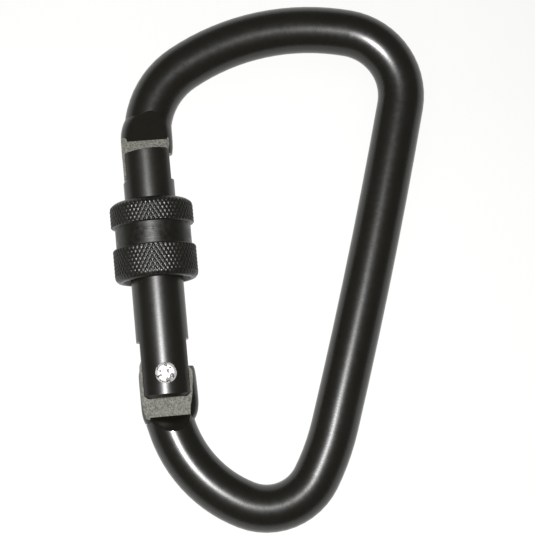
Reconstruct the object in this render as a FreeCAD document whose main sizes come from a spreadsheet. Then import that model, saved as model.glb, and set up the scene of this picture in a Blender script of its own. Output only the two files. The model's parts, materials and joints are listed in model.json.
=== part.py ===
import FreeCAD, Part

import math
import os

import Sketcher

# Locking carabiner, offset-D shape, lying in the XY plane.
# Sub-parts are drawn in hinge coordinates: the rivet's axis is Z at the origin and the
# closed gate runs up the Y axis. Every Placement then moves them together, so that the
# middle of the whole object is the origin of the part's own frame.

doc = FreeCAD.newDocument("carabiner")

DIMENSIONS = {
    # bent rod: radius and sweep of each tangent bend, clockwise from the nose
    "rod_radius": 5.2,
    "nose_start_x": 1.08,
    "nose_start_y": 56.6,
    "nose_heading": 77.23,
    "nose_bend_radius": 18.1,
    "nose_bend_sweep": 46.9,
    "crown_radius": 51.0,
    "crown_sweep": 44.3,
    "shoulder_radius": 14.2,
    "shoulder_sweep": 91.7,
    "spine_radius": 1300.0,
    "spine_sweep": 3.25,
    "lower_spine_radius": 53.0,
    "lower_spine_sweep": 13.0,
    "foot_radius": 12.2,
    "foot_sweep": 84.2,
    "heel_radius": 27.4,
    "heel_sweep": 49.4,
    # forged ends of the rod and the flat tongues machined on them
    "tongue_thickness": 5.2,
    "nose_shoulder": 51.8,
    "nose_ramp_end": 57.9,
    "hinge_shoulder": -9.15,
    "hinge_ramp_end": -12.7,
    # gate
    "gate_radius": 5.75,
    "gate_upper_radius": 5.62,
    "gate_bottom": -5.2,
    "gate_top": 49.9,
    "gate_top_slant": 0.9,
    "gate_end_round": 0.7,
    "slot_width": 5.5,
    "hinge_slot_top": 7.5,
    "latch_slot_bottom": 42.9,
    "bore_radius": 2.15,
    "bore_top": 31.0,
    # screw thread between gate and sleeve
    "thread_pitch": 2.0,
    "thread_root_radius": 5.5,
    "thread_crest_radius": 6.0,
    "thread_bottom": 22.0,
    "thread_top": 38.4,
    "thread_crest_width": 0.5,
    "thread_root_width": 0.9,
    "thread_flank_gap": 0.16,
    # locking sleeve, in its unlocked place
    "sleeve_bottom": 20.8,
    "sleeve_top": 38.6,
    "sleeve_band_radius": 9.2,
    "sleeve_groove_radius": 8.35,
    "sleeve_groove_bottom": 28.1,
    "sleeve_groove_top": 33.0,
    "sleeve_edge_round": 1.5,
    "sleeve_bore_radius": 6.12,
    "sleeve_counterbore_radius": 7.4,
    "sleeve_counterbore_depth": 1.8,
    "sleeve_thread_turns": 1.25,
    # friction ring in a groove of the sleeve's bore
    "ring_inner_radius": 6.03,
    "ring_outer_radius": 6.9,
    "ring_groove_radius": 6.95,
    "ring_bottom": 34.4,
    "ring_height": 1.4,
    "ring_gap": 0.05,
    # rivet and latch pin
    "rivet_radius": 1.6,
    "rivet_hole_radius": 1.65,
    "rivet_head_radius": 2.3,
    "rivet_head_seat": 4.9,
    "rivet_crown": 6.0,
    "latch_pin_radius": 1.1,
    "latch_pin_y": 46.1,
    "latch_seat_radius": 1.35,
    "latch_pin_front": 4.6,
    # plunger and spring
    "plunger_radius": 2.05,
    "plunger_tip": 4.4,
    "plunger_shoulder": 6.2,
    "plunger_top": 14.0,
    "plunger_nose_radius": 0.9,
    "plunger_travel": 1.4,
    "cam_low_radius": 4.3,
    "cam_rise_per_radian": 2.6,
    "cam_sweep": 30.0,
    "spring_radius": 1.7,
    "spring_wire_radius": 0.32,
    "spring_pitch": 1.2,
}

sheet = doc.addObject("Spreadsheet::Sheet", "dims")
for row, (alias, value) in enumerate(DIMENSIONS.items(), start=1):
    sheet.set("A" + str(row), alias)
    sheet.set("B" + str(row), str(value))
    sheet.setAlias("B" + str(row), alias)
doc.recompute()


def dim(alias):
    """A driving dimension as a plain number."""
    return float(sheet.get(alias))


# ---------------------------------------------------------------- sketch helpers

X_AXIS = -1
Y_AXIS = -2
START = 1
END = 2
CENTRE = 3


def new_body(label):
    body = doc.addObject("PartDesign::Body", label)
    body.Label = label
    return body


def origin_feature(body, role):
    return next(f for f in body.Origin.OriginFeatures if f.Role == role)


def new_sketch(body, name, role):
    sketch = body.newObject("Sketcher::SketchObject", name)
    sketch.AttachmentSupport = [(origin_feature(body, role), "")]
    sketch.MapMode = "FlatFace"
    return sketch


def bind(sketch, constraint, expression):
    index = sketch.addConstraint(constraint)
    sketch.setExpression("Constraints[%d]" % index, expression)


def pin_point(sketch, geometry, point, x, y):
    """Hold one sketch point at a place given by two sheet expressions."""
    for kind, expression in (("DistanceX", x), ("DistanceY", y)):
        if expression == "0":
            axis = Y_AXIS if kind == "DistanceX" else X_AXIS
            sketch.addConstraint(Sketcher.Constraint("PointOnObject", geometry, point, axis))
        else:
            limit = Sketcher.Constraint(kind, X_AXIS, START, geometry, point, 1.0)
            bind(sketch, limit, expression)


def outline(sketch, corners):
    """A closed polygon whose corners are pairs of sheet expressions."""
    count = len(corners)
    spots = []
    for i in range(count):
        angle = 2 * math.pi * i / count
        spots.append(FreeCAD.Vector(10 * math.cos(angle), 10 * math.sin(angle), 0))
    lines = [Part.LineSegment(spots[i], spots[(i + 1) % count]) for i in range(count)]
    first = sketch.addGeometry(lines, False)[0]
    for i in range(count):
        following = (i + 1) % count
        joined = Sketcher.Constraint("Coincident", first + i, END, first + following, START)
        sketch.addConstraint(joined)
    for i, (x, y) in enumerate(corners):
        pin_point(sketch, first + i, START, x, y)
    return sketch


def circle(sketch, x, y, radius):
    """A circle whose centre and radius are sheet expressions."""
    shape = Part.Circle(FreeCAD.Vector(1, 1, 0), FreeCAD.Vector(0, 0, 1), 1.0)
    index = sketch.addGeometry(shape, False)
    pin_point(sketch, index, CENTRE, x, y)
    bind(sketch, Sketcher.Constraint("Radius", index, 1.0), radius)
    return sketch


def rectangle(sketch, left, bottom, right, top):
    return outline(sketch, [(left, bottom), (right, bottom), (right, top), (left, top)])


def pad(body, name, sketch, length):
    """A pad of the sketch, half to each side of its plane."""
    feature = body.newObject("PartDesign::Pad", name)
    feature.Profile = sketch
    feature.SideType = "Symmetric"
    feature.setExpression("Length", length)
    return feature


def checked_cut(body, feature):
    """Recompute and make sure that the cut took material away."""
    before = feature.BaseFeature.Shape.Volume
    doc.recompute()
    if feature.Shape.Volume > before - 0.01:
        raise RuntimeError(feature.Name + " cuts nothing")
    return feature


def pocket(body, name, sketch, length=None, symmetric=False):
    feature = body.newObject("PartDesign::Pocket", name)
    feature.Profile = sketch
    if length:
        feature.setExpression("Length", length)
    else:
        feature.Type = "ThroughAll"
    if symmetric:
        feature.SideType = "Symmetric"
    return checked_cut(body, feature)


def revolve(body, name, sketch, axis="Y_Axis"):
    feature = body.newObject("PartDesign::Revolution", name)
    feature.Profile = sketch
    feature.ReferenceAxis = (origin_feature(body, axis), [""])
    feature.Angle = 360.0
    return feature


def groove(body, name, sketch, axis="Y_Axis"):
    feature = body.newObject("PartDesign::Groove", name)
    feature.Profile = sketch
    feature.ReferenceAxis = (origin_feature(body, axis), [""])
    feature.Angle = 360.0
    return checked_cut(body, feature)


def helix(body, name, sketch, kind, pitch, height):
    """A coil of the sketch about the Y axis; kind is AdditiveHelix or SubtractiveHelix."""
    feature = body.newObject("PartDesign::" + kind, name)
    feature.Profile = sketch
    feature.ReferenceAxis = (origin_feature(body, "Y_Axis"), [""])
    feature.Mode = "pitch-height-angle"
    feature.setExpression("Pitch", pitch)
    feature.setExpression("Height", height)
    doc.recompute()
    return feature


# ---------------------------------------------------------------- carabiner body

# the swollen ends of the forging: y, middle of the width, half width, half thickness
NOSE_STATIONS = [(48.8, 0.12, 5.6, 3.6), (51.4, 0.3, 5.74, 3.9), (54.3, 0.42, 5.66, 5.1),
                 (57.6, 1.25, 5.15, 5.0)]
HINGE_STATIONS = [(1.5, 0.4, 5.85, 2.2), (-0.6, 0.38, 6.25, 4.2), (-4.6, 0.45, 6.3, 4.2),
                  (-7.0, 0.42, 6.25, 3.7), (-10.3, 0.1, 5.35, 4.6)]

BENDS = ["nose_bend", "crown", "shoulder", "spine", "lower_spine", "foot", "heel"]


def heading_vector(degrees):
    angle = math.radians(degrees)
    return FreeCAD.Vector(math.cos(angle), math.sin(angle), 0)


def rod_path():
    """Tangent arcs of the rod's centre line, with a straight lead at each end."""
    point = FreeCAD.Vector(dim("nose_start_x"), dim("nose_start_y"), 0)
    heading = dim("nose_heading")
    lead = 0.42 * (dim("nose_start_y") - dim("nose_shoulder"))
    segments = [Part.LineSegment(point - heading_vector(heading) * lead, point)]
    for bend in BENDS:
        radius = dim(bend + "_radius")
        sweep = dim(bend + "_sweep")
        centre = point + heading_vector(heading - 90) * radius
        middle = centre + heading_vector(heading - sweep / 2 + 90) * radius
        end = centre + heading_vector(heading - sweep + 90) * radius
        segments.append(Part.Arc(point, middle, end))
        point = end
        heading -= sweep
    lead = point.y * -1 + dim("hinge_shoulder")
    segments.append(Part.LineSegment(point, point + heading_vector(heading) * lead))
    return segments


def carabiner_body():
    body = new_body("carabiner_body")
    path = new_sketch(body, "rod_path", "XY_Plane")
    path.addGeometry(rod_path(), False)
    section = body.newObject("Sketcher::SketchObject", "rod_section")
    section.AttachmentSupport = [(path, "Edge1")]
    section.MapMode = "NormalToEdge"
    section.MapPathParameter = 0
    doc.recompute()
    circle(section, "0", "0", "dims.rod_radius")
    rod = body.newObject("PartDesign::AdditivePipe", "rod")
    rod.Profile = section
    rod.Spine = path
    rod.Mode = "Frenet"
    doc.recompute()

    nose_head(body)
    hinge_head(body)
    tongue_flats(body)
    return body


def forged_head(body, name, stations):
    """A loft of ellipses across the Y axis; each station is y, centre, half width."""
    sections = []
    for index, (y, centre, half_width, half_thickness) in enumerate(stations):
        sketch = new_sketch(body, "%s_section_%d" % (name, index + 1), "XZ_Plane")
        sketch.AttachmentOffset = FreeCAD.Placement(FreeCAD.Vector(0, 0, -y),
                                                    FreeCAD.Rotation())
        middle = FreeCAD.Vector(centre, 0, 0)
        side = middle + FreeCAD.Vector(half_width, 0, 0)
        crest = middle + FreeCAD.Vector(0, half_thickness, 0)
        sketch.addGeometry(Part.Ellipse(side, crest, middle), False)
        sections.append(sketch)
    loft = body.newObject("PartDesign::AdditiveLoft", name)
    loft.Profile = sections[0]
    loft.Sections = sections[1:]
    doc.recompute()


def nose_head(body):
    """The forged nose, which ends in a flat tongue with a hook for the latch pin."""
    sketch = outline(new_sketch(body, "nose_outline", "XY_Plane"), [
        ("-5.35", "dims.latch_slot_bottom + 0.75"),
        ("0.4", "dims.latch_slot_bottom + 0.75"),
        ("2.3", "dims.latch_slot_bottom + 1.2"),
        ("2.3", "dims.latch_pin_y - dims.latch_seat_radius + 0.2"),
        ("0", "dims.latch_pin_y - dims.latch_seat_radius"),
        ("-0.9", "dims.latch_pin_y - 1.0"),
        ("-1.35", "dims.latch_pin_y"),
        ("-0.9", "dims.latch_pin_y + 1.0"),
        ("0", "dims.latch_pin_y + dims.latch_seat_radius"),
        ("2.4", "dims.latch_pin_y + dims.latch_seat_radius + 0.2"),
        ("4.2", "dims.nose_shoulder - 3.3"),
        ("4.7", "dims.nose_shoulder - 3.0"),
        ("5.1", "dims.nose_shoulder - 1.2"),
        ("5.15", "dims.nose_shoulder"),
        ("4.75", "dims.nose_shoulder + 0.9"),
        ("3.6", "dims.nose_shoulder + 0.6"),
        ("-3.6", "dims.nose_shoulder + 0.6"),
        ("-5.3", "dims.nose_shoulder + 1.1"),
        ("-5.4", "dims.nose_shoulder"),
    ])
    pad(body, "nose_tongue", sketch, "dims.tongue_thickness")
    forged_head(body, "nose_head", NOSE_STATIONS)


def hinge_head(body):
    """The forged hinge end: the tongue turns under the gate's cheeks and carries the cam."""
    sketch = new_sketch(body, "hinge_outline", "XY_Plane")
    low = dim("cam_low_radius")
    rise = dim("cam_rise_per_radian")
    sweep = math.radians(dim("cam_sweep"))

    def cam_point(turned):
        radius = low + rise * turned
        angle = math.pi / 2 - turned
        return FreeCAD.Vector(radius * math.cos(angle), radius * math.sin(angle), 0)

    start = cam_point(0)
    high = cam_point(sweep)
    corners = [
        FreeCAD.Vector(4.7, 2.6, 0),
        FreeCAD.Vector(5.1, 1.3, 0),
        FreeCAD.Vector(5.8, 0.4, 0),
        FreeCAD.Vector(5.85, -0.4, 0),
        FreeCAD.Vector(5.65, -2.5, 0),
        FreeCAD.Vector(5.3, -4.6, 0),
        FreeCAD.Vector(4.55, -6.6, 0),
        FreeCAD.Vector(4.35, -9.6, 0),
        FreeCAD.Vector(-4.6, -9.6, 0),
        FreeCAD.Vector(-5.1, -9.2, 0),
        FreeCAD.Vector(-5.45, -7.4, 0),
        FreeCAD.Vector(-5.65, -4.1, 0),
        FreeCAD.Vector(-5.6, -1.6, 0),
        FreeCAD.Vector(-5.5, 2.3, 0),
        FreeCAD.Vector(-5.2, 3.0, 0),
        FreeCAD.Vector(-4.5, 3.4, 0),
        FreeCAD.Vector(-3.0, 4.0, 0),
    ]
    points = [high] + corners + [start]
    shapes = [Part.LineSegment(a, b) for a, b in zip(points[:-1], points[1:])]
    shapes.append(Part.Arc(start, cam_point(sweep / 2), high))
    sketch.addGeometry(shapes, False)
    pad(body, "hinge_tongue", sketch, "dims.tongue_thickness")
    forged_head(body, "hinge_head", HINGE_STATIONS)


def ramp_cut(body, name, shoulder, ramp_end, away):
    """Two cuts, front and back, down to the tongue's flats, each ending in a sloped ramp."""
    half = "dims.tongue_thickness / 2"
    for side, sign in (("front", ""), ("back", "-")):
        sketch = new_sketch(body, name + "_" + side + "_outline", "YZ_Plane")
        outline(sketch, [
            (away, sign + "(" + half + ")"),
            (shoulder, sign + "(" + half + ")"),
            (ramp_end, sign + "(dims.rod_radius + 0.05)"),
            (ramp_end, sign + "(dims.rod_radius + 2)"),
            (away, sign + "(dims.rod_radius + 2)"),
        ])
        pocket(body, name + "_" + side, sketch, length="18 mm", symmetric=True)


def tongue_flats(body):
    ramp_cut(body, "nose_flat", "dims.nose_shoulder", "dims.nose_ramp_end",
             "dims.latch_slot_bottom - 2")
    ramp_cut(body, "hinge_flat", "dims.hinge_shoulder", "dims.hinge_ramp_end", "9 mm")
    hole = circle(new_sketch(body, "rivet_hole_outline", "XY_Plane"), "0", "0",
                  "dims.rivet_hole_radius")
    pocket(body, "rivet_hole", hole, symmetric=True)


# ---------------------------------------------------------------- gate

def gate():
    body = new_body("gate")
    profile = outline(new_sketch(body, "gate_profile", "XY_Plane"), [
        ("0", "dims.gate_bottom"),
        ("dims.gate_radius - dims.gate_end_round", "dims.gate_bottom"),
        ("dims.gate_radius", "dims.gate_bottom + dims.gate_end_round"),
        ("dims.gate_radius", "dims.thread_bottom - 0.4"),
        ("dims.thread_root_radius", "dims.thread_bottom"),
        ("dims.thread_root_radius", "dims.thread_top"),
        ("dims.gate_upper_radius", "dims.thread_top + 0.1"),
        ("dims.gate_upper_radius", "dims.gate_top - 0.5"),
        ("dims.gate_upper_radius - 0.5", "dims.gate_top"),
        ("0", "dims.gate_top"),
    ])
    revolve(body, "barrel", profile)
    doc.recompute()

    ridge = "dims.thread_root_width / 2"
    crest = "dims.thread_crest_width / 2"
    first = "dims.thread_bottom + dims.thread_root_width"
    thread = outline(new_sketch(body, "thread_profile", "XY_Plane"), [
        ("dims.thread_root_radius - 0.1", first + " - " + ridge),
        ("dims.thread_crest_radius", first + " - " + crest),
        ("dims.thread_crest_radius", first + " + " + crest),
        ("dims.thread_root_radius - 0.1", first + " + " + ridge),
    ])
    helix(body, "thread", thread, "AdditiveHelix", "dims.thread_pitch",
          "dims.thread_top - dims.thread_bottom - 2 * dims.thread_root_width")

    bore = outline(new_sketch(body, "bore_profile", "XY_Plane"), [
        ("0", "dims.gate_bottom"),
        ("dims.bore_radius", "dims.gate_bottom"),
        ("dims.bore_radius", "dims.bore_top"),
        ("0", "dims.bore_top + 1.2"),
    ])
    groove(body, "spring_bore", bore)

    hinge_slot = rectangle(new_sketch(body, "hinge_slot_outline", "YZ_Plane"),
                           "dims.gate_bottom - 1", "-dims.slot_width / 2",
                           "dims.hinge_slot_top", "dims.slot_width / 2")
    pocket(body, "hinge_slot", hinge_slot, symmetric=True)
    latch_slot = rectangle(new_sketch(body, "latch_slot_outline", "YZ_Plane"),
                           "dims.latch_slot_bottom", "-dims.slot_width / 2",
                           "dims.gate_top + 1", "dims.slot_width / 2")
    pocket(body, "latch_slot", latch_slot, symmetric=True)

    slant = outline(new_sketch(body, "slanted_end_outline", "XY_Plane"), [
        ("-7", "dims.gate_top - dims.gate_top_slant"),
        ("dims.gate_upper_radius - 1.2", "dims.gate_top"),
        ("dims.gate_upper_radius - 1.2", "dims.gate_top + 1"),
        ("-7", "dims.gate_top + 1"),
    ])
    pocket(body, "slanted_end", slant, symmetric=True)

    rivet_bore = circle(new_sketch(body, "rivet_bore_outline", "XY_Plane"), "0", "0",
                        "dims.rivet_radius")
    pocket(body, "rivet_bore", rivet_bore, symmetric=True)
    for side, sign in (("front", ""), ("back", "-")):
        seat = outline(new_sketch(body, "rivet_seat_" + side + "_profile", "XZ_Plane"), [
            ("0", sign + "(dims.rivet_head_seat)"),
            ("dims.rivet_head_radius", sign + "(dims.rivet_head_seat)"),
            ("dims.rivet_head_radius", sign + "(dims.gate_radius + 1)"),
            ("0", sign + "(dims.gate_radius + 1)"),
        ])
        groove(body, "rivet_seat_" + side, seat, "Z_Axis")

    pin_bore = circle(new_sketch(body, "pin_bore_outline", "XY_Plane"), "0",
                      "dims.latch_pin_y", "dims.latch_pin_radius")
    pin_bore.setExpression("AttachmentOffset.Base.z", "dims.latch_pin_front")
    pocket(body, "pin_bore", pin_bore)
    return body


# ---------------------------------------------------------------- small parts

def hinge_rivet():
    body = new_body("hinge_rivet")
    profile = outline(new_sketch(body, "rivet_profile", "XZ_Plane"), [
        ("0", "-dims.rivet_crown"),
        ("dims.rivet_head_radius * 0.75", "-dims.rivet_crown + 0.1"),
        ("dims.rivet_head_radius", "-dims.rivet_crown + 0.5"),
        ("dims.rivet_head_radius", "-dims.rivet_head_seat"),
        ("dims.rivet_radius", "-dims.rivet_head_seat"),
        ("dims.rivet_radius", "dims.rivet_head_seat"),
        ("dims.rivet_head_radius", "dims.rivet_head_seat"),
        ("dims.rivet_head_radius", "dims.rivet_crown - 0.5"),
        ("dims.rivet_head_radius * 0.75", "dims.rivet_crown - 0.1"),
        ("0", "dims.rivet_crown"),
    ])
    revolve(body, "rivet", profile, "Z_Axis")
    return body


def latch_pin():
    body = new_body("latch_pin")
    profile = outline(new_sketch(body, "pin_profile", "XZ_Plane"), [
        ("0", "-dims.gate_upper_radius + 0.2"),
        ("dims.latch_pin_radius - 0.15", "-dims.gate_upper_radius + 0.2"),
        ("dims.latch_pin_radius", "-dims.gate_upper_radius + 0.35"),
        ("dims.latch_pin_radius", "dims.latch_pin_front - 0.05"),
        ("0", "dims.latch_pin_front - 0.05"),
    ])
    profile.setExpression("AttachmentOffset.Base.z", "-dims.latch_pin_y")
    pin = body.newObject("PartDesign::Revolution", "pin")
    pin.Profile = profile
    pin.ReferenceAxis = (profile, ["V_Axis"])
    pin.Angle = 360.0
    return body


def spring_plunger():
    body = new_body("spring_plunger")
    spigot = "dims.spring_radius - dims.spring_wire_radius - 0.2"
    profile = outline(new_sketch(body, "plunger_profile", "XY_Plane"), [
        ("0", "dims.plunger_tip"),
        ("dims.plunger_nose_radius * 0.5", "dims.plunger_tip + 0.1"),
        ("dims.plunger_nose_radius", "dims.plunger_tip + 0.45"),
        ("dims.plunger_radius", "dims.plunger_shoulder"),
        ("dims.plunger_radius", "dims.plunger_top"),
        (spigot, "dims.plunger_top"),
        (spigot, "dims.bore_top - dims.plunger_travel"),
        ("0", "dims.bore_top - dims.plunger_travel"),
    ])
    revolve(body, "plunger", profile)
    return body


def gate_spring():
    body = new_body("gate_spring")
    wire = circle(new_sketch(body, "wire_section", "XY_Plane"), "dims.spring_radius",
                  "dims.plunger_top + dims.spring_wire_radius + 0.02",
                  "dims.spring_wire_radius")
    helix(body, "coil", wire, "AdditiveHelix", "dims.spring_pitch",
          "dims.bore_top - dims.plunger_top - 2 * dims.spring_wire_radius - 0.1")
    return body


def friction_ring():
    body = new_body("friction_ring")
    profile = rectangle(new_sketch(body, "ring_profile", "XY_Plane"),
                        "dims.ring_inner_radius", "dims.ring_bottom",
                        "dims.ring_outer_radius", "dims.ring_bottom + dims.ring_height")
    revolve(body, "ring", profile)
    return body


# ---------------------------------------------------------------- locking sleeve

def locking_sleeve():
    body = new_body("locking_sleeve")
    edge = "dims.sleeve_edge_round"
    band = "dims.sleeve_band_radius"
    profile = outline(new_sketch(body, "sleeve_profile", "XY_Plane"), [
        ("dims.sleeve_counterbore_radius", "dims.sleeve_bottom"),
        (band + " - 0.9", "dims.sleeve_bottom"),
        (band + " - 0.25", "dims.sleeve_bottom + 0.4 * " + edge),
        (band, "dims.sleeve_bottom + " + edge),
        (band, "dims.sleeve_groove_bottom - 0.3"),
        ("dims.sleeve_groove_radius", "dims.sleeve_groove_bottom"),
        ("dims.sleeve_groove_radius", "dims.sleeve_groove_top"),
        (band, "dims.sleeve_groove_top + 0.3"),
        (band, "dims.sleeve_top - 1.1 * " + edge),
        (band + " - 0.5", "dims.sleeve_top - 0.5 * " + edge),
        (band + " - 1.3", "dims.sleeve_top - 0.15 * " + edge),
        (band + " - 2.2", "dims.sleeve_top"),
        ("dims.sleeve_bore_radius", "dims.sleeve_top"),
        ("dims.sleeve_bore_radius", "dims.ring_bottom + dims.ring_height + dims.ring_gap"),
        ("dims.ring_groove_radius", "dims.ring_bottom + dims.ring_height + dims.ring_gap"),
        ("dims.ring_groove_radius", "dims.ring_bottom - dims.ring_gap"),
        ("dims.sleeve_bore_radius", "dims.ring_bottom - dims.ring_gap"),
        ("dims.sleeve_bore_radius", "dims.sleeve_bottom + dims.sleeve_counterbore_depth"),
        ("dims.sleeve_counterbore_radius",
         "dims.sleeve_bottom + dims.sleeve_counterbore_depth"),
    ])
    revolve(body, "sleeve", profile)
    doc.recompute()

    # The sleeve's ridge is what is left between two turns of the gate's ridge.
    foot = "((dims.thread_pitch - dims.thread_crest_width) / 2 - dims.thread_flank_gap)"
    tip = "((dims.thread_pitch - dims.thread_root_width) / 2 - dims.thread_flank_gap)"
    middle = "dims.thread_bottom + dims.thread_root_width + dims.thread_pitch / 2"
    ridge = outline(new_sketch(body, "inner_thread_profile", "XY_Plane"), [
        ("dims.sleeve_bore_radius + 0.1", middle + " - " + foot),
        ("dims.thread_root_radius + 0.12", middle + " - " + tip),
        ("dims.thread_root_radius + 0.12", middle + " + " + tip),
        ("dims.sleeve_bore_radius + 0.1", middle + " + " + foot),
    ])
    helix(body, "inner_thread", ridge, "AdditiveHelix", "dims.thread_pitch",
          "dims.thread_pitch * dims.sleeve_thread_turns")
    return body


# ---------------------------------------------------------------- build, check and write

def middle_of_object(rod_wire):
    """Centre of the bounding box of the rod and the sleeve together."""
    box = rod_wire.optimalBoundingBox(False)
    left = -dim("sleeve_band_radius")
    right = box.XMax + dim("rod_radius")
    return FreeCAD.Vector((left + right) / 2, (box.YMin + box.YMax) / 2, 0)


def check(sub_parts):
    for item in doc.Objects:
        bad = [state for state in item.State if state in ("Invalid", "Error")]
        if bad:
            raise RuntimeError(item.Name + " is " + ", ".join(bad))
    for item in sub_parts:
        if item.Shape.isNull() or not item.Shape.isValid():
            raise RuntimeError(item.Label + " has no valid shape")
        if len(item.Shape.Solids) != 1:
            raise RuntimeError(item.Label + " is not one solid")


sub_parts = [
    carabiner_body(),
    gate(),
    hinge_rivet(),
    latch_pin(),
    spring_plunger(),
    gate_spring(),
    friction_ring(),
    locking_sleeve(),
]
doc.recompute()

offset = middle_of_object(Part.Wire([segment.toShape() for segment in rod_path()])) * -1
for item in sub_parts:
    item.Placement = FreeCAD.Placement(offset, FreeCAD.Rotation())
doc.recompute()
check(sub_parts)

os.makedirs("parts", exist_ok=True)
for item in sub_parts:
    item.Shape.exportStep("parts/" + item.Label + ".step")
    print(item.Label, round(item.Shape.Volume, 1), item.Shape.BoundBox)
print("hinge at", offset)
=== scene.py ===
import json
import math

import bmesh
import bpy
from mathutils import Matrix, Vector


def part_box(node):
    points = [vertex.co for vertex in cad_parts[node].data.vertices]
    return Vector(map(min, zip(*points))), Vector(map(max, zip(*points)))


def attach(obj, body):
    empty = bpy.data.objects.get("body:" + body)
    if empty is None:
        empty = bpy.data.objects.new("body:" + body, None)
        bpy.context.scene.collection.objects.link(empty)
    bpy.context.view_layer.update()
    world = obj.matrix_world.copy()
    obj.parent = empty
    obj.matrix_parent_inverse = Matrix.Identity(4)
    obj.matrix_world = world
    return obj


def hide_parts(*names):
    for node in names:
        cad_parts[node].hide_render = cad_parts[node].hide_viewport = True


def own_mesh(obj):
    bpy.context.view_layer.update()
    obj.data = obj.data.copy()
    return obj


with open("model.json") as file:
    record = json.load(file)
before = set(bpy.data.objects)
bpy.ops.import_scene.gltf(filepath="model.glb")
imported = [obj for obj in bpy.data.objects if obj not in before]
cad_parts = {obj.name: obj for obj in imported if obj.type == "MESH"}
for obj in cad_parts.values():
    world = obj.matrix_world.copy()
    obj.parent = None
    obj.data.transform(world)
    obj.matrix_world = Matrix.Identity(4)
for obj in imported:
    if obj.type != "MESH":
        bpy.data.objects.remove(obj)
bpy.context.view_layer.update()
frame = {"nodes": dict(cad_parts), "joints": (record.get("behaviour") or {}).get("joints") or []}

# Locking carabiner lying on a pale floor. Lengths are metres; MM turns millimetres into them.
MM = 0.001

# ---------------------------------------------------------------- places read from the frame

joints = {joint["name"]: joint for joint in frame["joints"]}
hinge = Vector(joints["gate_hinge"]["pos_m"])
nodes = frame["nodes"]


def span(node, axis):
    """Lowest and highest value of a CAD node along one axis."""
    low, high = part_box(node)
    return low[axis], high[axis]


gate_top = span("gate", 1)[1]
sleeve_bottom, sleeve_top = span("locking_sleeve", 1)
band_radius = span("locking_sleeve", 2)[1]

# ---------------------------------------------------------------- materials


class Nodes:
    """A material's node tree, with short ways to add nodes and link them."""

    def __init__(self, name):
        self.material = bpy.data.materials.new(name)
        self.material.use_nodes = True
        self.tree = self.material.node_tree
        self.shader = self.tree.nodes["Principled BSDF"]

    def add(self, kind, **values):
        node = self.tree.nodes.new(kind)
        for key, value in values.items():
            setattr(node, key, value)
        return node

    def link(self, source, target):
        self.tree.links.new(source, target)

    def set(self, **values):
        for key, value in values.items():
            self.shader.inputs[key.replace("_", " ")].default_value = value

    def place(self):
        return self.add("ShaderNodeTexCoord").outputs["Object"]

    def noise(self, scale, detail=3.0, stretch=(1.0, 1.0, 1.0), roughness=0.5):
        mapping = self.add("ShaderNodeMapping")
        mapping.inputs["Scale"].default_value = stretch
        self.link(self.place(), mapping.inputs["Vector"])
        noise = self.add("ShaderNodeTexNoise")
        noise.inputs["Scale"].default_value = scale
        noise.inputs["Detail"].default_value = detail
        noise.inputs["Roughness"].default_value = roughness
        self.link(mapping.outputs[0], noise.inputs["Vector"])
        return noise.outputs["Fac"]

    def math(self, operation, first, second=None, third=None, clamp=False):
        node = self.add("ShaderNodeMath", operation=operation, use_clamp=clamp)
        for index, value in enumerate((first, second, third)):
            if value is None:
                continue
            if isinstance(value, (int, float)):
                node.inputs[index].default_value = value
            else:
                self.link(value, node.inputs[index])
        return node.outputs[0]

    def spread(self, value, low, high, to_low=0.0, to_high=1.0):
        node = self.add("ShaderNodeMapRange", clamp=True)
        for name, number in (("From Min", low), ("From Max", high),
                             ("To Min", to_low), ("To Max", to_high)):
            node.inputs[name].default_value = number
        self.link(value, node.inputs["Value"])
        return node.outputs["Result"]

    def mix_colour(self, amount, first, second):
        node = self.add("ShaderNodeMix", data_type="RGBA")
        self.link(amount, node.inputs["Factor"])
        for socket, colour in ((node.inputs["A"], first), (node.inputs["B"], second)):
            if isinstance(colour, tuple):
                socket.default_value = (*colour, 1.0)
            else:
                self.link(colour, socket)
        return node.outputs["Result"]

    def bump(self, height, strength, distance, normal=None):
        node = self.add("ShaderNodeBump")
        node.inputs["Strength"].default_value = strength
        node.inputs["Distance"].default_value = distance
        self.link(height, node.inputs["Height"])
        if normal:
            self.link(normal, node.inputs["Normal"])
        return node.outputs["Normal"]


BLACK = (0.0038, 0.0035, 0.0022)
BLACK_WORN = (0.0050, 0.0046, 0.0031)
MILLED_DARK = (0.030, 0.029, 0.023)
MILLED_LIGHT = (0.110, 0.107, 0.090)
# Near black painted shade for the dents in the rivet head.
PIT_SHADE_COLOUR = (0.05, 0.05, 0.05)

# The milled flats lie this far from the middle plane. A ramp climbs from each flat to the rod;
# its start is measured along Y from the hinge and its slope is rise over run.
FLAT_HEIGHT = 2.6 * MM
NOSE_RAMP_START = 51.8 * MM
NOSE_RAMP_SLOPE = 2.65 / 6.1
HINGE_RAMP_START = -9.15 * MM
HINGE_RAMP_SLOPE = 2.65 / 3.55
RAMP_SMOOTHNESS = 0.5
MILLED_ROUGHNESS = 0.62
MILLED_METALLIC = 0.35
END_REACH = 8 * MM


def black_anodised(name, rough_low=0.27, rough_high=0.31, grain=0.35):
    """Black anodised aluminium: a grainy satin film with a slightly warm, greenish tint."""
    mat = Nodes(name)
    fine = mat.noise(2600.0, 4.0, roughness=0.7)
    broad = mat.noise(160.0, 4.0)
    mat.link(mat.mix_colour(mat.spread(broad, 0.35, 0.7), BLACK, BLACK_WORN),
             mat.shader.inputs["Base Color"])
    mat.link(mat.spread(mat.noise(900.0, 3.0), 0.3, 0.7, rough_low, rough_high),
             mat.shader.inputs["Roughness"])
    mat.link(mat.bump(fine, grain, 0.00003), mat.shader.inputs["Normal"])
    mat.set(Metallic=0.0, IOR=1.5)
    return mat


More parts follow.
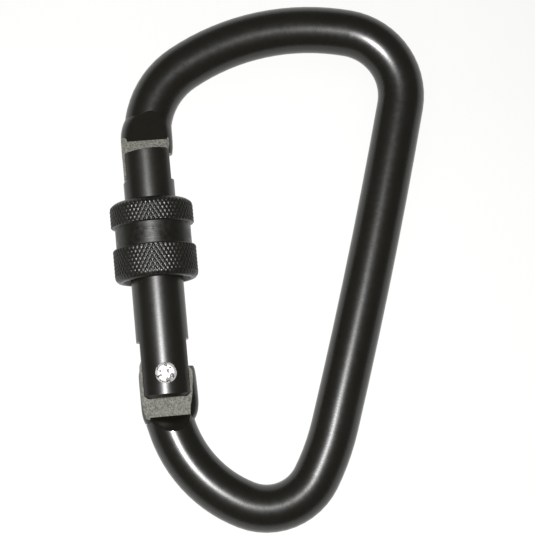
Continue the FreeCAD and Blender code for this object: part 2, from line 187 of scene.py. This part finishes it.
def plain_metal(name, colour, roughness, grain=0.3):
    """Bare metal with fine grain."""
    mat = Nodes(name)
    fine = mat.noise(3600.0, 3.0)
    dull = tuple(0.8 * c for c in colour)
    mat.link(mat.mix_colour(fine, dull, colour), mat.shader.inputs["Base Color"])
    mat.link(mat.spread(mat.noise(700.0, 3.0), 0.3, 0.7, roughness - 0.06, roughness + 0.06),
             mat.shader.inputs["Roughness"])
    mat.link(mat.bump(fine, grain, 0.00002), mat.shader.inputs["Normal"])
    mat.set(Metallic=1.0)
    return mat


def body_material():
    """Black anodised rod: its tongues have bare milled flats and smooth dark ramps."""
    mat = black_anodised("body_black")
    film_colour = mat.shader.inputs["Base Color"].links[0].from_socket
    film_rough = mat.shader.inputs["Roughness"].links[0].from_socket
    parts = mat.add("ShaderNodeSeparateXYZ")
    mat.link(mat.place(), parts.inputs[0])
    height = mat.math("ABSOLUTE", parts.outputs["Z"])
    off_flat = mat.math("ABSOLUTE", mat.math("SUBTRACT", height, FLAT_HEIGHT))
    on_flat = mat.math("LESS_THAN", off_flat, 0.02 * MM)
    by_nose = mat.math("GREATER_THAN", parts.outputs["Y"], gate_top - END_REACH)
    by_hinge = mat.math("LESS_THAN", parts.outputs["Y"], hinge.y + END_REACH)
    by_gate = mat.math("LESS_THAN", parts.outputs["X"], hinge.x + END_REACH)
    ends = mat.math("MULTIPLY", mat.math("MAXIMUM", by_nose, by_hinge), by_gate)
    milled = mat.math("MULTIPLY", on_flat, ends)
    grain = mat.noise(3200.0, 2.0)
    bare = mat.mix_colour(mat.spread(grain, 0.36, 0.64), MILLED_DARK, MILLED_LIGHT)
    mat.link(mat.mix_colour(milled, film_colour, bare), mat.shader.inputs["Base Color"])
    nose_along = mat.math("SUBTRACT", parts.outputs["Y"], hinge.y + NOSE_RAMP_START)
    hinge_along = mat.math("SUBTRACT", hinge.y + HINGE_RAMP_START, parts.outputs["Y"])
    ramp = mat.math("MAXIMUM", on_ramp(mat, height, nose_along, NOSE_RAMP_SLOPE),
                    on_ramp(mat, height, hinge_along, HINGE_RAMP_SLOPE))
    ramp = mat.math("MULTIPLY", ramp, by_gate)
    rough = mat.math("MULTIPLY", film_rough, mat.spread(ramp, 0.0, 1.0, 1.0, RAMP_SMOOTHNESS))
    rough = mat.math("MAXIMUM", rough, mat.math("MULTIPLY", milled, MILLED_ROUGHNESS))
    mat.link(rough, mat.shader.inputs["Roughness"])
    mat.link(mat.math("MULTIPLY", milled, MILLED_METALLIC), mat.shader.inputs["Metallic"])
    return mat.material


def on_ramp(mat, height, along, slope):
    """1 on the smooth ramp that climbs from a tongue's flat, 0 elsewhere."""
    climb = mat.math("MULTIPLY_ADD", along, slope, FLAT_HEIGHT)
    off_ramp = mat.math("ABSOLUTE", mat.math("SUBTRACT", height, climb))
    near = mat.math("LESS_THAN", off_ramp, 0.04 * MM)
    return mat.math("MULTIPLY", near, mat.math("GREATER_THAN", along, 0.0))


def rivet_material():
    """Bright riveted steel, peened into pits that are darkened with painted shade."""
    mat = plain_metal("rivet_steel", (0.62, 0.61, 0.60), 0.5, 0.5)
    skin = mat.shader.inputs["Base Color"].links[0].from_socket
    # Peened dents: they shape the bump, and in the colour they get near black painted shade.
    pits_and_shade = mat.spread(mat.noise(1300.0, 2.0), 0.40, 0.46)
    mat.link(mat.mix_colour(pits_and_shade, PIT_SHADE_COLOUR, skin), mat.shader.inputs["Base Color"])
    mat.link(mat.bump(pits_and_shade, 0.8, 0.0001), mat.shader.inputs["Normal"])
    mat.set(Metallic=0.6)
    return mat.material


def give(node, material):
    nodes[node].data.materials.clear()
    nodes[node].data.materials.append(material)
    for polygon in nodes[node].data.polygons:
        polygon.material_index = 0


give("carabiner_body", body_material())
give("gate", black_anodised("gate_black", 0.31, 0.35).material)
give("hinge_rivet", rivet_material())
give("latch_pin", plain_metal("pin_steel", (0.35, 0.34, 0.33), 0.35).material)
give("spring_plunger", plain_metal("plunger_brass", (0.72, 0.55, 0.26), 0.3).material)

# ---------------------------------------------------------------- locking sleeve


def new_object(name, mesh):
    thing = bpy.data.objects.new(name, mesh)
    bpy.context.scene.collection.objects.link(thing)
    return thing


def turned(name, profile, around, height):
    """A closed ring turned about the gate's axis.

    profile is a closed loop of (radius, y); height(angle, index) is how far that point
    stands proud of the profile along its radius.
    """
    verts = []
    for index, (radius, y) in enumerate(profile):
        for step in range(around):
            angle = 2 * math.pi * step / around
            out = radius + height(angle, index)
            verts.append((hinge.x + out * math.cos(angle), y, out * math.sin(angle)))
    faces = []
    rows = len(profile)
    for row in range(rows):
        following = (row + 1) % rows
        for step in range(around):
            ahead = (step + 1) % around
            faces.append((row * around + step, row * around + ahead,
                          following * around + ahead, following * around + step))
    mesh = bpy.data.meshes.new(name)
    mesh.from_pydata(verts, [], faces)
    mesh.update()
    for polygon in mesh.polygons:
        polygon.use_smooth = True
    return new_object(name, mesh)


KNURLS_AROUND = 60
KNURL_ANGLE = math.radians(30)
KNURL_DEPTH = 0.20 * MM
STEPS_PER_KNURL = 8
COUNTERBORE_RADIUS = 7.4 * MM
COUNTERBORE_DEPTH = 1.8 * MM
BORE_RADIUS = 6.12 * MM
GROOVE_RADIUS = band_radius - 0.85 * MM
GROOVE_SPAN = (sleeve_bottom + 7.3 * MM, sleeve_bottom + 12.2 * MM)


def arc_points(centre, radii, start, end, count):
    """Points of an elliptical arc in the (radius, y) plane, angles in degrees."""
    points = []
    for i in range(count + 1):
        angle = math.radians(start + (end - start) * i / count)
        points.append((centre[0] + radii[0] * math.cos(angle),
                       centre[1] + radii[1] * math.sin(angle)))
    return points


def straight(start, end, step):
    count = max(1, round(math.dist(start, end) / step))
    return [(start[0] + (end[0] - start[0]) * i / count,
             start[1] + (end[1] - start[1]) * i / count) for i in range(count)]


def sleeve_profile():
    """The sleeve's section, outside upwards and bore downwards, with a knurl weight each."""
    fine = 0.13 * MM
    outer = []
    lower_round = arc_points((band_radius - 1.2 * MM, sleeve_bottom + 1.5 * MM),
                             (1.2 * MM, 1.5 * MM), -90, 0, 12)
    outer += [(point, 0.0) for point in lower_round[:6]]
    outer += [(point, 0.6) for point in lower_round[6:-1]]
    low_edge = (band_radius, sleeve_bottom + 1.5 * MM)
    groove_low = (band_radius, GROOVE_SPAN[0] - 0.25 * MM)
    outer += [(point, 1.0) for point in straight(low_edge, groove_low, fine)]
    outer += [(groove_low, 0.6)]
    outer += [((band_radius - 0.2 * MM, GROOVE_SPAN[0] - 0.05 * MM), 0.0)]
    foot = (GROOVE_RADIUS, GROOVE_SPAN[0])
    head = (GROOVE_RADIUS, GROOVE_SPAN[1])
    outer += [(point, 0.0) for point in straight(foot, head, fine)]
    outer += [(head, 0.0)]
    outer += [((band_radius - 0.2 * MM, GROOVE_SPAN[1] + 0.05 * MM), 0.0)]
    groove_high = (band_radius, GROOVE_SPAN[1] + 0.25 * MM)
    upper_edge = (band_radius, sleeve_top - 1.7 * MM)
    outer += [(point, 1.0) for point in straight(groove_high, upper_edge, fine)]
    shoulder = arc_points((band_radius - 2.9 * MM, sleeve_top - 1.7 * MM),
                          (2.9 * MM, 1.7 * MM), 0, 90, 26)
    for i, point in enumerate(shoulder):
        outer.append((point, max(0.0, 1.0 - i / 22)))
    bore = [
        (BORE_RADIUS + 0.15 * MM, sleeve_top),
        (BORE_RADIUS, sleeve_top - 0.15 * MM),
        (BORE_RADIUS, sleeve_bottom + COUNTERBORE_DEPTH),
        (COUNTERBORE_RADIUS, sleeve_bottom + COUNTERBORE_DEPTH),
        (COUNTERBORE_RADIUS, sleeve_bottom + 0.2 * MM),
        (COUNTERBORE_RADIUS + 0.2 * MM, sleeve_bottom),
    ]
    return outer + [(point, 0.0) for point in bore]


def triangle(value):
    """0 at whole numbers, 1 halfway between them."""
    return 1 - abs(2 * (value - math.floor(value)) - 1)


def knurl(angle, y):
    """Height of a diamond knurl between 0, the bottom of a groove, and 1."""
    turn = KNURLS_AROUND * angle / (2 * math.pi)
    climb = (y - sleeve_bottom) * math.tan(KNURL_ANGLE)
    climb *= KNURLS_AROUND / (2 * math.pi * band_radius)
    ridge = min(triangle(turn + climb), triangle(turn - climb))
    return min(1.0, 1.15 * ridge)


def locking_sleeve():
    section = sleeve_profile()

    def height(angle, index):
        (radius, y), weight = section[index]
        return -KNURL_DEPTH * weight * (1 - knurl(angle, y))

    sleeve = turned("sleeve_shell", [point for point, weight in section],
                    KNURLS_AROUND * STEPS_PER_KNURL, height)
    sleeve.data.materials.append(sleeve_material())
    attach(sleeve, "sleeve")
    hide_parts("locking_sleeve")


def sleeve_material():
    """Black anodised, with turning lines in the groove between the knurled bands."""
    mat = black_anodised("sleeve_black", 0.27, 0.48, 0.35)
    mat.set(IOR=1.42)
    grain = mat.shader.inputs["Normal"].links[0].from_socket
    lines = mat.noise(1.0, 2.0, (30.0, 5200.0, 30.0))
    mat.link(mat.bump(lines, 0.5, 0.00003, grain), mat.shader.inputs["Normal"])
    return mat.material


locking_sleeve()
ring = plain_metal("ring_nylon", (0.05, 0.05, 0.05), 0.5)
ring.set(Metallic=0.0)
give("friction_ring", ring.material)

# ---------------------------------------------------------------- gate spring

WIRE_RADIUS = 0.32 * MM
SPRING_TURNS = 10
DEAD_TURNS = 1.25
STEPS_PER_TURN = 28
WIRE_SIDES = 10


def coil_height(turn, low, high):
    """Height of the wire's middle: the turns at each end lie close, the others are spread."""
    close = 2.04 * WIRE_RADIUS
    spread = (high - low - 2 * DEAD_TURNS * close) / (SPRING_TURNS - 2 * DEAD_TURNS)
    first = min(turn, DEAD_TURNS) * close
    middle = min(max(turn - DEAD_TURNS, 0.0), SPRING_TURNS - 2 * DEAD_TURNS) * spread
    last = max(turn - (SPRING_TURNS - DEAD_TURNS), 0.0) * close
    return low + first + middle + last


def coil_spring():
    """A compression spring coiled about the gate's axis, its end turns lying close."""
    low, high = span("gate_spring", 1)
    coil_radius = span("gate_spring", 2)[1] - WIRE_RADIUS
    first, last = low + WIRE_RADIUS, high - WIRE_RADIUS
    count = SPRING_TURNS * STEPS_PER_TURN
    verts, faces = [], []
    for i in range(count + 1):
        turn = i / STEPS_PER_TURN
        angle = 2 * math.pi * turn
        y = coil_height(turn, first, last)
        for side in range(WIRE_SIDES):
            around = 2 * math.pi * side / WIRE_SIDES
            radius = coil_radius + WIRE_RADIUS * math.cos(around)
            verts.append((hinge.x + radius * math.cos(angle),
                          y + WIRE_RADIUS * math.sin(around), -radius * math.sin(angle)))
    for i in range(count):
        for side in range(WIRE_SIDES):
            a = i * WIRE_SIDES + side
            b = i * WIRE_SIDES + (side + 1) % WIRE_SIDES
            faces.append((a, b, b + WIRE_SIDES, a + WIRE_SIDES))
    faces.append(tuple(reversed(range(WIRE_SIDES))))
    faces.append(tuple(count * WIRE_SIDES + side for side in range(WIRE_SIDES)))
    mesh = bpy.data.meshes.new("coil_spring")
    mesh.from_pydata(verts, [], faces)
    work = bmesh.new()
    work.from_mesh(mesh)
    bmesh.ops.recalc_face_normals(work, faces=work.faces)
    work.to_mesh(mesh)
    work.free()
    for polygon in mesh.polygons:
        polygon.use_smooth = len(polygon.vertices) == 4
    spring = new_object("coil_spring", mesh)
    mesh.materials.append(plain_metal("spring_steel", (0.62, 0.61, 0.6), 0.28).material)
    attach(spring, "gate")
    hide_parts("gate_spring")
    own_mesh(spring)


coil_spring()

# ---------------------------------------------------------------- floor, lights and camera

# The spine and the sleeve are the two places where the carabiner rests on the floor.
SPINE_MIDDLE = hinge + Vector((49.1, 29.3, 0.0)) * MM
SPINE_DIRECTION = Vector((0.2868, 0.9580, 0.0))
ROD_RADIUS = 5.2 * MM


def floor_plane():
    """A point on the floor and its normal: it touches the sleeve's low edge and the spine."""
    sleeve_spot = Vector((hinge.x, sleeve_bottom + 1.5 * MM, -band_radius))
    towards_gate = Vector((-SPINE_DIRECTION.y, SPINE_DIRECTION.x, 0.0))
    reach = (sleeve_spot - SPINE_MIDDLE).dot(towards_gate)
    slope = (band_radius - ROD_RADIUS) / reach
    normal = (Vector((0, 0, 1)) + towards_gate * slope).normalized()
    return sleeve_spot - normal * 0.05 * MM, normal


def make_floor():
    spot, normal = floor_plane()
    bpy.ops.mesh.primitive_plane_add(size=6.0, location=spot)
    floor = bpy.context.object
    floor.name = "floor"
    floor.rotation_mode = "QUATERNION"
    floor.rotation_quaternion = normal.to_track_quat("Z", "Y")
    mat = Nodes("floor_white")
    mottle = mat.noise(30.0, 3.0)
    mat.link(mat.mix_colour(mottle, (0.52, 0.52, 0.515), (0.53, 0.53, 0.525)),
             mat.shader.inputs["Base Color"])
    mat.set(Roughness=0.9, Specular_IOR_Level=0.2)
    floor.data.materials.append(mat.material)


def area_light(name, place, size, power):
    """A round lamp aimed at the object's middle. It casts no shadow, so the floor stays even."""
    light = bpy.data.lights.new(name, "AREA")
    light.shape = "DISK"
    light.size = size
    light.energy = power
    light.use_shadow = False
    lamp = new_object(name, light)
    lamp.location = place
    lamp.rotation_mode = "QUATERNION"
    lamp.rotation_quaternion = Vector(place).to_track_quat("Z", "Y")


# A small strong lamp close to the camera gives the narrow highlights along the rod and gate.
KEY_PLACE = (-0.100, -0.036, 0.50)
KEY_SIZE = 0.02
KEY_POWER = 5.0
SKY_STRENGTH = 0.12

VIEW_DIRECTION = Vector((-0.096, -0.139, 0.985)).normalized()
ROLL = math.radians(5.4)
LENS = 120.0
SENSOR_WIDTH = 36.0
DISTANCE = 0.3948
AIM_RIGHT = -2.65 * MM
AIM_UP = -0.58 * MM


def make_camera():
    data = bpy.data.cameras.new("camera")
    data.lens = LENS
    data.sensor_width = SENSOR_WIDTH
    data.clip_start = 0.01
    data.clip_end = 50.0
    camera = new_object("camera", data)
    up = (Vector((0, 1, 0)) - VIEW_DIRECTION * VIEW_DIRECTION.y).normalized()
    up = Matrix.Rotation(-ROLL, 3, VIEW_DIRECTION) @ up
    right = up.cross(VIEW_DIRECTION)
    turn = Matrix((right, up, VIEW_DIRECTION)).transposed()
    place = right * AIM_RIGHT + up * AIM_UP + VIEW_DIRECTION * DISTANCE
    camera.matrix_world = Matrix.Translation(place) @ turn.to_4x4()
    bpy.context.scene.camera = camera


def make_world():
    world = bpy.data.worlds.new("studio")
    bpy.context.scene.world = world
    world.use_nodes = True
    background = world.node_tree.nodes["Background"]
    background.inputs["Color"].default_value = (1.0, 1.0, 1.0, 1.0)
    background.inputs["Strength"].default_value = SKY_STRENGTH


make_floor()
make_world()
area_light("key", KEY_PLACE, KEY_SIZE, KEY_POWER)
make_camera()
bpy.context.scene.view_settings.view_transform = "Standard"
